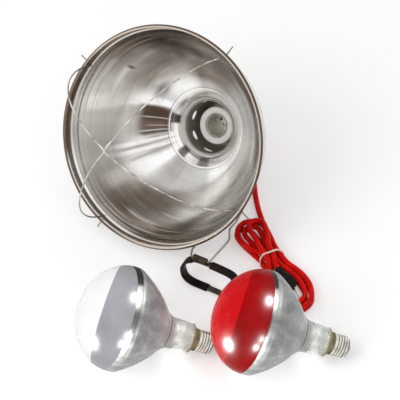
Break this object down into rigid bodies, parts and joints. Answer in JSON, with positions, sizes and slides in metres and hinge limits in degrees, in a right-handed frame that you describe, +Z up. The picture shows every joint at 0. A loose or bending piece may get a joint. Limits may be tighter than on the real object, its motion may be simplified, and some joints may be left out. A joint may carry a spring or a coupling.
{
  "type": "brooder heat lamp",
  "caption": "Clamp heat lamp laid on its side: spun reflector with wire guard, hinged bail with squeeze clamp, tied cord with plug, and two loose reflector bulbs.",
  "frame": {"origin": "on the floor under the middle of the box of everything but the cord and what is on it", "axes": "+Z up; +Y away from the viewer, from the bulbs to the lamp; +X to the viewer's right"},
  "size_m": [0.3398, 0.423, 0.2503],
  "materials": {
    "bowl": "polished",
    "housing": "dull, darkened inside",
    "steel": "bright plated",
    "strap": "browned",
    "brass": "dull",
    "porcelain": "glazed white, opaque",
    "vinyl": "soft gloss",
    "cord_jacket": "soft gloss",
    "tie": "matte",
    "red_glass": "glossy, coated inside",
    "frosted_glass": "glossy, frosted inside",
    "clear_glass": "clear",
    "black_glass": "glossy"
  },
  "bodies": {
    "lamp": {"reflector": "bowl", "socket_housing": "housing", "socket_porcelain": "porcelain", "screw_shell": "brass", "shell_rivet_upper": "strap", "shell_rivet_lower": "strap", "centre_contact": "brass", "mounting_screw": "steel", "terminal_screw_right": "brass", "terminal_screw_left": "brass", "conductor_right": "cord_jacket", "conductor_left": "cord_jacket", "guard_wire_high": "steel", "guard_wire_low": "steel", "pivot_collar": "steel", "collar_screw": "steel", "collar_nut": "steel", "strain_relief": "cord_jacket", "cord": "cord_jacket", "cord_hank": "cord_jacket", "hank_tie": "tie", "plug_body": "vinyl", "plug_blade_left": "steel", "plug_blade_right": "steel"},
    "bail": {"bail": "steel"},
    "clamp_upper": {"clamp_upper_strap": "strap", "sleeve_bow_upper": "vinyl", "sleeve_arm": "vinyl", "jaw_tip_lower": "vinyl"},
    "clamp_lower": {"clamp_lower_strap": "strap", "sleeve_bow_lower": "vinyl", "jaw_tip_upper": "vinyl"},
    "red_bulb": {"red_bulb_glass": "red_glass", "red_bulb_base": "brass", "red_bulb_insulator": "black_glass", "red_bulb_contact": "brass", "red_bulb_stem": "clear_glass", "red_bulb_filament": "strap"},
    "clear_bulb": {"clear_bulb_glass": "frosted_glass", "clear_bulb_base": "brass", "clear_bulb_insulator": "black_glass", "clear_bulb_contact": "brass", "clear_bulb_stem": "clear_glass", "clear_bulb_filament": "strap"}
  },
  "joints": [
    {"name": "bail_tilt", "type": "hinge", "parent": "lamp", "child": "bail", "pos_m": [0.00745, 0.16578, 0.04529], "axis": [0.7749, 0.0173, 0.6318], "range_deg": [0, 2]},
    {"name": "clamp_swivel", "type": "hinge", "parent": "bail", "child": "clamp_upper", "pos_m": [-0.00717, -0.04282, 0.04898], "axis": [0.8821, -0.471, 0], "range_deg": [-20, 12]},
    {"name": "clamp_squeeze", "type": "hinge", "parent": "clamp_upper", "child": "clamp_lower", "pos_m": [-0.02525, -0.03317, 0.02098], "axis": [-0.471, -0.8821, 0], "range_deg": [0, 9], "stiffness_Nm_per_rad": 0.4, "springref_deg": -2.86},
    {"name": "red_bulb_lift", "type": "slide", "parent": "lamp", "child": "red_bulb", "axis": [0, 0, 1], "range_m": [0, 0.3]},
    {"name": "clear_bulb_lift", "type": "slide", "parent": "lamp", "child": "clear_bulb", "axis": [-0.6, 0, 0.8], "range_m": [0, 0.3]}
  ]
}
